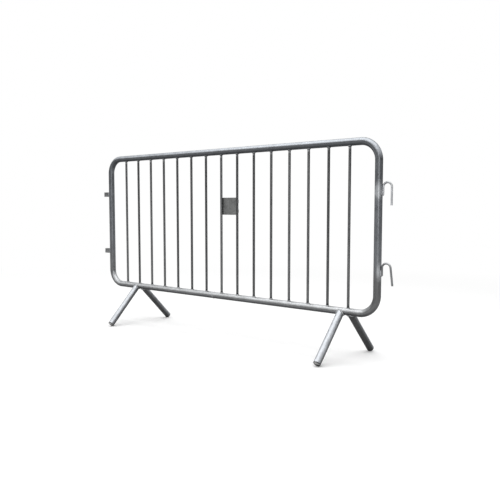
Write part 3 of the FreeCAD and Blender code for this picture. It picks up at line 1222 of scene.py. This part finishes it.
@dataclass
class BlankPlate:
    """The small bare plate behind two bars, and its tack welds."""

    shop: Workshop
    edge_radius: float = 0.5 * MM
    corner_radius: float = 2.0 * MM
    corner_steps: int = 6
    crease: float = math.radians(32)
    tack_radius: float = 2.6 * MM
    tack_length: float = 18 * MM
    tack_inset: float = 22 * MM  # from the plate's top and bottom to each tack's middle
    tack_gap: float = 0.9 * MM  # from the plate's sides out to the tacks' lines
    tack_depth: float = 1.0 * MM  # behind the plate's front face
    tack_seed: float = 31.0

    def sheet(self, work: bmesh.types.BMesh, low: Vector, high: Vector) -> None:
        """Fills a mesh with a rounded rectangle, in rings from the front face to the rear.

        Args:
            work: the bmesh to fill.
            low: the plate's lowest corner.
            high: its highest corner.
        """
        edge = self.edge_radius
        corners = ((high.x, high.z), (low.x, high.z), (low.x, low.z), (high.x, low.z))
        rings = []
        for depth, inset in ((low.y, edge), (low.y + edge, 0.0), (high.y - edge, 0.0),
                             (high.y, edge)):
            ring = []
            reach = self.corner_radius - inset
            for quarter, (x, z) in enumerate(corners):
                centre = Vector((x + (-1 if x == high.x else 1) * self.corner_radius, depth,
                                 z + (-1 if z == high.z else 1) * self.corner_radius))
                for step in range(self.corner_steps + 1):
                    angle = math.pi / 2 * (quarter + step / self.corner_steps)
                    spoke = Vector((math.cos(angle), 0.0, math.sin(angle)))
                    ring.append(centre + spoke * reach)
            rings.append(ring)
        skin_rings(work, rings)

    def build(self) -> None:
        low, high = node_box("plate")
        mesh = mesh_from("plate", lambda work: self.sheet(work, low, high))
        plate = place_made(mesh, "blank_plate", self.shop.plate_finish, self.crease)
        declare(plate, Slot.STEEL, "plate")
        half = Vector((0.0, 0.0, self.tack_length / 2))
        paths = []
        for x in (low.x - self.tack_gap, high.x + self.tack_gap):
            for z in (low.z + self.tack_inset, high.z - self.tack_inset):
                middle = Vector((x, low.y + self.tack_depth, z))
                paths.append(weld_run(middle - half, middle + half))
        tacks = self.shop.bead("plate_tacks", paths, self.tack_radius, self.tack_seed)
        declare(tacks, Slot.WELD, "plate_tack_welds")


@dataclass
class Leg:
    """One leg tube, coped onto the bottom rail, with its plug and the lines of its weld."""

    shop: Workshop
    end: End
    side: Side
    radius: float = 19 * MM
    tilt: float = math.radians(45)
    sides: int = 96
    feather_trim: float = 4 * MM  # the least length of the cope's two tips
    tucked_in: float = 0.25  # how far the hidden top ring is drawn in, to the joint's middle
    shaft_rings: Span = (1.6, 3.0)  # rings below the cope, in radii, that keep the shading even
    edge_break: float = 0.4 * MM
    crease: float = math.radians(40)
    plug_head: float = 4.5 * MM
    plug_sides: int = 72
    plug_crease: float = math.radians(50)
    weld_steps: int = 150
    weld_girth: float = 0.55  # of the bead at the cope's tips
    weld_swell: float = 0.45  # how much is added to that on the leg's flanks
    weld_rise: float = 2.2  # how soon it is added, away from the tips

    def __post_init__(self) -> None:
        """Places the leg from its CAD node's box."""
        low, high = node_box(self.node)
        sign = self.side.value
        self.top = Vector(((low.x + high.x) / 2, 0.0, self.shop.rect.bottom))
        self.down = Vector((0.0, sign * math.sin(self.tilt), -math.cos(self.tilt)))
        self.outward = Vector((0.0, sign * math.cos(self.tilt), math.sin(self.tilt)))
        foot = low.z + self.radius * math.sin(self.tilt)
        self.length = (self.top.z - foot) / math.cos(self.tilt)

    @property
    def place(self) -> str:
        """The leg's place, as its pieces are named."""
        return f"{self.side.name.lower()}_{self.end.value}"

    @property
    def node(self) -> str:
        """The leg's CAD node."""
        return f"leg_{self.place}"

    def around(self, angle: float, along: float) -> Vector:
        """A point of the leg's skin, by its angle round the axis and its distance down it."""
        return (self.top + Vector((self.radius * math.cos(angle), 0.0, 0.0))
                + self.outward * (self.radius * math.sin(angle)) + self.down * along)

    def spoke(self, angle: float) -> Vector:
        """The unit vector from the leg's axis out to its skin, at an angle."""
        return Vector((math.cos(angle), 0.0, 0.0)) + self.outward * math.sin(angle)

    def tube(self) -> bpy.types.Object:
        """The leg's tube.

        Returns:
            The finished object. A ring at its top follows the saddle where it meets the rail.
        """
        angles = circle_angles(self.sides)
        cope = [self.around(a, max(self.radius * abs(math.cos(a)), self.feather_trim))
                for a in angles]
        rings = [[point.lerp(self.top, self.tucked_in) for point in cope], cope]
        shaft = [share * self.radius for share in self.shaft_rings]
        for along in (*shaft, self.length - self.edge_break):
            rings.append([self.around(a, along) for a in angles])
        rings.append([self.around(a, self.length) - self.spoke(a) * self.edge_break
                      for a in angles])
        mesh = mesh_from(self.node, lambda work: skin_rings(work, rings))
        return place_made(mesh, f"leg_tube_{self.place}", self.shop.leg_finish, self.crease)

    def plug_profile(self) -> list[tuple[float, float]]:
        """The plug's outline: stem, rim and dished face.

        Returns:
            (distance past the tube's end, radius), from the stem's inner end to the face's
            middle.
        """
        r = self.radius
        stem = [(-14 * MM, r - 4.4 * MM), (-14 * MM, r - 2.4 * MM), (0.0, r - 2.2 * MM)]
        rim = [(0.05 * MM, r - 0.25 * MM), (0.5 * MM, r)]
        from_head = [(1.6, r), (0.9, r - 0.36 * MM), (0.3, r - 1.0 * MM), (0.0, r - 1.9 * MM),
                     (0.0, r - 4.0 * MM), (0.5, r - 4.8 * MM), (0.8, r - 8.0 * MM),
                     (0.9, 2.2 * MM), (0.6, 1.6 * MM), (0.5, 0.4 * MM)]
        face = [(self.plug_head - back * MM, radius) for back, radius in from_head]
        return stem + rim + face

    def plug(self) -> bpy.types.Object:
        """The foot's plug.

        Returns:
            The finished object: a low rim, a dished face, and a stem inside the tube.
        """
        foot = self.top + self.down * self.length
        rings = lathe_rings(self.plug_profile(), foot, self.down, Vector((1.0, 0.0, 0.0)),
                            self.plug_sides)
        mesh = mesh_from("plug", lambda work: skin_rings(work, rings))
        return place_made(mesh, f"foot_cap_{self.place}", self.shop.plastic_finish,
                          self.plug_crease)

    def weld_paths(self) -> list[Path]:
        """The lines of the bead along the saddle curve.

        Returns:
            Its two halves, which stop short of the cope's tips.
        """
        reach = math.acos(self.feather_trim / self.radius)
        steps = self.weld_steps
        paths = []
        for middle in (0.0, math.pi):
            angles = [middle + reach * (2 * i / steps - 1) for i in range(steps + 1)]
            points = [self.around(a, self.radius * abs(math.cos(a))) for a in angles]
            girths = [self.weld_girth
                      + self.weld_swell * min(1.0, abs(math.cos(a)) * self.weld_rise)
                      for a in angles]
            paths.append(Path(points, girths))
        return paths

    def build(self) -> None:
        declare(self.tube(), Slot.STEEL, self.node)
        declare(self.plug(), Slot.PLASTIC, f"foot_plug_{self.place}")


@dataclass
class Legs:
    """All four legs, and the beads that join them to the bottom rail."""

    shop: Workshop
    weld_radius: float = 4.2 * MM
    weld_seed: float = 17.0
    weld_ripple: float = 0.4 * MM
    weld_pitch: float = 2.8 * MM

    def build(self) -> None:
        paths = []
        for end in End:
            for side in Side:
                leg = Leg(self.shop, end, side)
                leg.build()
                paths.extend(leg.weld_paths())
        beads = self.shop.bead("leg_saddle_welds", paths, self.weld_radius, self.weld_seed,
                               self.weld_ripple, self.weld_pitch)
        declare(beads, Slot.WELD, "leg_welds")


@dataclass
class Hook:
    """A rod hook on the right end post: shank, bend over the top, and free leg."""

    shop: Workshop
    level: Level
    rod: float = 5 * MM  # its radius
    sides: int = 32
    span: float = 44 * MM  # from the shank's centre line to the free leg's
    shank: float = 38 * MM
    leg: float = 87.5 * MM
    lean: float = 0.0  # how far the free leg leans out
    bend_steps: int = 40
    fit_up: float = 0.1 * MM  # from the post to the shank
    foot_break: tuple[float, float] = (0.5 * MM, 0.9)  # length and girth at the shank's end
    tip_break: tuple[tuple[float, float], ...] = (  # distance to the tip, and girth there
        (1.3 * MM, 1.0), (0.8 * MM, 0.93), (0.3 * MM, 0.82), (0.0, 0.66))
    weld_foot: Point = (0.8 * MM, 5.2 * MM, -1.0 * MM)  # out, aside and up from the shank's end
    weld_length: float = 27 * MM
    toe_reach: Point = (2.6 * MM, 5.0 * MM, -1.2 * MM)  # the same, at the toe's widest
    toe_out: float = 0.5 * MM
    toe_steps: int = 24
    toe_girth: float = 1.15

    def __post_init__(self) -> None:
        """Places the hook from its CAD node's box."""
        self.wall = self.shop.rect.outer_right
        crown = node_box(self.node)[1].z
        self.bend_start = Vector((self.wall + self.fit_up + self.rod, 0.0,
                                  crown - self.rod - self.span / 2))

    @property
    def node(self) -> str:
        """The hook's CAD node."""
        return f"hook_{self.level.value}"

    def rod_path(self) -> Path:
        """The rod's centre line.

        Returns:
            The line, with its two ends slightly rounded.
        """
        half = self.span / 2
        foot = self.bend_start - Vector((0.0, 0.0, self.shank))
        pivot = self.bend_start + Vector((half, 0.0, 0.0))
        bend = arc_points(pivot, Vector((-half, 0.0, 0.0)), Vector((0.0, 0.0, half)),
                          math.pi - self.lean, self.bend_steps)
        direction = Vector((math.sin(self.lean), 0.0, -math.cos(self.lean)))
        tip = bend[-1] + direction * self.leg
        length, girth = self.foot_break
        points = [foot, foot + Vector((0.0, 0.0, length)), *bend]
        girths = [girth] + [1.0] * (len(points) - 1)
        for back, girth in self.tip_break:
            points.append(tip - direction * back)
            girths.append(girth)
        return Path(points, girths)

    def build(self) -> None:
        values = {"Radius": self.rod, "Segments": self.sides,
                  "Material": self.shop.rod_finishes[self.level]}
        name = f"hook_rod_{self.level.value}"
        rod = self.shop.sweep.apply(path_mesh(name, [self.rod_path()]), name, values)
        declare(rod, Slot.STEEL, self.node)

    def weld_paths(self) -> list[Path]:
        """The lines of the shank's weld.

        Returns:
            A bead up each side of the shank, and one across under its end.
        """
        foot = Vector((self.wall, 0.0, self.bend_start.z - self.shank))
        paths = []
        out, aside, up = self.weld_foot
        for side in (-1, 1):
            start = foot + Vector((out, side * aside, up))
            paths.append(weld_run(start, start + Vector((0.0, 0.0, self.weld_length))))
        half = self.toe_steps // 2
        out, aside, up = self.toe_reach
        toe = []
        for i in range(self.toe_steps + 1):
            angle = math.pi / 2 * (i / half - 1)
            toe.append(foot + Vector((out * math.cos(angle) + self.toe_out,
                                      aside * math.sin(angle), up)))
        paths.append(Path(toe, [self.toe_girth] * len(toe)))
        return paths


@dataclass
class Eye:
    """A strap eye on the left end post: a flat bar bent into a U."""

    shop: Workshop
    level: Level
    thickness: float = 5 * MM
    edge_radius: float = 1.1 * MM
    edge_steps: int = 5
    bend_steps: int = 36
    buried: float = 6 * MM  # how far the arms reach past the post's centre line
    crease: float = math.radians(45)
    weld_inset: float = 1.5 * MM  # from the strap's edges to the beads' ends
    weld_gap: float = 0.7 * MM  # from the strap's outer faces out to the beads' lines
    weld_out: float = 1.0 * MM  # from the post's skin out to the beads' lines

    def __post_init__(self) -> None:
        """Places the eye from its CAD node's box."""
        self.low, self.high = node_box(self.node)
        self.outer = self.high.y
        self.bend_x = self.low.x + self.outer

    @property
    def node(self) -> str:
        """The eye's CAD node."""
        return f"eye_{self.level.value}"

    def section(self) -> list[tuple[float, float]]:
        """The strap's rounded section.

        Returns:
            (through the strap, up it) for each point, from the section's middle.
        """
        r = self.edge_radius
        half_t = self.thickness / 2
        half_w = (self.high.z - self.low.z) / 2
        corners = ((half_t - r, half_w - r), (r - half_t, half_w - r), (r - half_t, r - half_w),
                   (half_t - r, r - half_w))
        points = []
        for quarter, (u, v) in enumerate(corners):
            for step in range(self.edge_steps + 1):
                angle = math.pi / 2 * (quarter + step / self.edge_steps)
                points.append((u + r * math.cos(angle), v + r * math.sin(angle)))
        return points

    def strap(self, work: bmesh.types.BMesh) -> None:
        """Fills a mesh with the strap: its rounded section, swept round the U.

        Args:
            work: the bmesh to fill.
        """
        middle = (self.outer + (self.outer - self.thickness)) / 2
        end_x = self.shop.rect.left - self.buried
        centre = Vector((self.bend_x, 0.0, (self.low.z + self.high.z) / 2))
        stations = [(Vector((end_x, middle, centre.z)), Vector((0.0, 1.0, 0.0)))]
        for i in range(self.bend_steps + 1):
            angle = math.pi / 2 + math.pi * i / self.bend_steps
            outward = Vector((math.cos(angle), math.sin(angle), 0.0))
            stations.append((centre + outward * middle, outward))
        stations.append((Vector((end_x, -middle, centre.z)), Vector((0.0, -1.0, 0.0))))
        section = self.section()
        skin_rings(work, [[point + outward * u + Vector((0.0, 0.0, v)) for u, v in section]
                          for point, outward in stations])

    def build(self) -> None:
        piece = place_made(mesh_from("eye", self.strap), f"eye_strap_{self.level.value}",
                           self.shop.strap_finish, self.crease)
        declare(piece, Slot.STEEL, self.node)

    def weld_paths(self) -> list[Path]:
        """The lines of the eye's welds.

        Returns:
            An upright bead where each arm meets the post.
        """
        rect = self.shop.rect
        x = rect.left - math.sqrt(rect.radius**2 - self.outer**2)
        paths = []
        for side in (-1, 1):
            start = Vector((x - self.weld_out, side * (self.outer + self.weld_gap),
                            self.low.z + self.weld_inset))
            end = Vector((start.x, start.y, self.high.z - self.weld_inset))
            paths.append(weld_run(start, end))
        return paths


@dataclass
class Links:
    """The hooks and eyes that link one barrier to the next, with their welds."""

    shop: Workshop
    lower_lean: float = math.radians(7)
    weld_radius: float = 3.4 * MM
    weld_ripple: float = 0.32 * MM
    weld_pitch: float = 2.4 * MM
    hook_weld_seed: float = 41.0
    eye_weld_seed: float = 53.0

    def build(self) -> None:
        """Makes and declares both hooks, both eyes and their welds."""
        hooks = [Hook(self.shop, Level.UPPER),
                 Hook(self.shop, Level.LOWER, lean=self.lower_lean)]
        eyes = [Eye(self.shop, level) for level in Level]
        for piece in (*hooks, *eyes):
            piece.build()
        self.welds("hook_shank_welds", "hook_welds", hooks, self.hook_weld_seed)
        self.welds("eye_arm_welds", "eye_welds", eyes, self.eye_weld_seed)

    def welds(self, name: str, node: str, pieces: Sequence[Hook | Eye], seed: float) -> None:
        """Args:
            name: the object's name.
            node: the CAD node that it stands for.
            pieces: the hooks or the eyes.
            seed: makes the beads' unevenness their own.
        """
        paths = [path for piece in pieces for path in piece.weld_paths()]
        beads = self.shop.bead(name, paths, self.weld_radius, seed, self.weld_ripple,
                               self.weld_pitch)
        declare(beads, Slot.WELD, node)


# ---------------------------------------------------------------------------------------------
# Studio
# ---------------------------------------------------------------------------------------------


@dataclass(frozen=True)
class SoftLight:
    """A rectangular soft light."""

    name: str
    at: Point
    aim: Point
    width: float
    height: float
    radiance: float  # how bright its face is, where 1 is white

    def build(self) -> None:
        """Adds the light."""
        data = bpy.data.lights.new(self.name, "AREA")
        data.shape = "RECTANGLE"
        data.size, data.size_y = self.width, self.height
        data.energy = self.radiance * math.pi * self.width * self.height
        lamp = bpy.data.objects.new(self.name, data)
        lamp.location = self.at
        lamp.rotation_mode = "QUATERNION"
        aim = Vector(self.aim) - Vector(self.at)
        lamp.rotation_quaternion = aim.to_track_quat("-Z", "Y")
        bpy.context.scene.collection.objects.link(lamp)


@dataclass(frozen=True)
class Studio:
    """Camera, floor and light."""

    camera_at: Point = (2.3119, -2.6239, 0.7682)
    yaw: float = math.radians(-38.731)
    pitch: float = math.radians(-4.212)
    lens: float = 43.11
    sensor: float = 36.0
    sight: float = 1000.0  # how far the camera sees
    floor_size: float = 400.0
    floor_colour: Colour = (0.93, 0.93, 0.93)
    floor_roughness: float = 0.9
    fade_distance: Span = (1.6, 4.5)  # how far out the floor turns into plain white
    fade_depth: Span = (0.3, 2.5)  # and how far behind the barrier
    wall: float = 1.0
    wall_edge: Span = (0.80, 0.88)  # the cosine from the wall's middle, over its soft edge
    room: float = 0.105
    ceiling: float = 0.82
    ceiling_span: Span = (0.08, 0.36)  # the direction's z, from room to ceiling
    right_shade: float = 0.4  # how bright the foot of the room's right side is
    right_span: Span = (0.1, 0.65)  # the direction's x where that side comes in
    right_height: Span = (0.65, 0.25)  # and its z
    left_gain: float = 1.35  # how bright the room's left side is
    left_span: Span = (-0.3, -0.7)
    lights: tuple[SoftLight, ...] = (
        SoftLight("overhead_softbox", (-0.3, -0.8, 4.6), (-0.3, -0.8, 0.0), 6.8, 5.4, 1.24),
        SoftLight("front_strip", (2.7, -3.1, 1.3), (0.0, 0.0, 0.66), 0.5, 2.0, 6.0))

    def forward(self) -> Vector:
        """The camera's direction.

        Returns:
            The unit vector that it looks along.
        """
        flat = math.cos(self.pitch)
        return Vector((math.sin(self.yaw) * flat, math.cos(self.yaw) * flat,
                       math.sin(self.pitch)))

    def ahead(self) -> Vector:
        """The level direction that the camera looks in."""
        return Vector((math.sin(self.yaw), math.cos(self.yaw), 0.0))

    def camera(self) -> None:
        """Adds the camera."""
        data = bpy.data.cameras.new("camera")
        data.lens = self.lens
        data.sensor_width = self.sensor
        data.clip_end = self.sight
        camera = bpy.data.objects.new("camera", data)
        camera.location = self.camera_at
        camera.rotation_mode = "QUATERNION"
        camera.rotation_quaternion = self.forward().to_track_quat("-Z", "Y")
        bpy.context.scene.collection.objects.link(camera)
        bpy.context.scene.camera = camera

    def floor(self) -> None:
        """Adds the pale floor, which turns into plain white far behind the barrier."""
        material, tree = empty_material("pale_floor")
        place = tree.add("ShaderNodeTexCoord").outputs["Object"]
        distance = tree.vector_measure("LENGTH", place)
        depth = tree.vector_measure("DOT_PRODUCT", place, self.ahead())
        far = tree.math("MULTIPLY", tree.ramp(distance, self.fade_distance),
                        tree.ramp(depth, self.fade_depth))
        near = tree.output("ShaderNodeBsdfPrincipled",
                           {"Base Color": (*self.floor_colour, 1.0),
                            "Roughness": self.floor_roughness, "Specular IOR Level": 0.0})
        white = tree.output("ShaderNodeEmission",
                            {"Color": (1.0, 1.0, 1.0, 1.0), "Strength": 1.0})
        both = tree.output("ShaderNodeMixShader", {0: far, 1: near, 2: white})
        tree.add("ShaderNodeOutputMaterial", {"Surface": both})
        half = self.floor_size / 2
        corners = [(-half, -half, 0.0), (half, -half, 0.0), (half, half, 0.0),
                   (-half, half, 0.0)]
        mesh = bpy.data.meshes.new("floor")
        mesh.from_pydata(corners, [], [(0, 1, 2, 3)])
        mesh.materials.append(material)
        place_mesh(mesh, "floor")

    def world(self) -> None:
        """Adds the room: a white wall behind the barrier, dim sides and a paler ceiling."""
        world = bpy.data.worlds.new("studio")
        world.use_nodes = True
        world.node_tree.nodes.clear()
        tree = Tree(world.node_tree)
        direction = tree.add("ShaderNodeTexCoord").outputs["Generated"]
        x = tree.along_axis(direction, "X")
        z = tree.along_axis(direction, "Z")
        level = tree.ramp(z, self.ceiling_span, (self.room, self.ceiling))
        right = tree.math("MULTIPLY", tree.ramp(x, self.right_span),
                          tree.ramp(z, self.right_height))
        level = tree.math("MULTIPLY", level,
                          tree.ramp(right, (0.0, 1.0), (1.0, self.right_shade)))
        level = tree.math("MULTIPLY", level,
                          tree.ramp(x, self.left_span, (1.0, self.left_gain)))
        towards = tree.vector_measure("DOT_PRODUCT", direction, self.ahead())
        brighter = tree.math("MULTIPLY", tree.ramp(towards, self.wall_edge),
                             tree.math("SUBTRACT", self.wall, level))
        level = tree.math("ADD", level, brighter)
        background = tree.output("ShaderNodeBackground", {"Color": level, "Strength": 1.0})
        tree.add("ShaderNodeOutputWorld", {"Surface": background})
        bpy.context.scene.world = world

    def build(self) -> None:
        """Sets up the whole studio."""
        self.camera()
        self.floor()
        self.world()
        for light in self.lights:
            light.build()
        bpy.context.scene.view_settings.view_transform = "Standard"


def main() -> None:
    """Builds the barrier and the studio."""
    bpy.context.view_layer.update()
    Studio().build()
    shop = Workshop()
    for part in (Frame(shop), Infill(shop), BlankPlate(shop), Legs(shop), Links(shop)):
        part.build()


if __name__ == "__main__":
    logging.basicConfig(level=logging.INFO, format="%(name)s: %(message)s")
    main()
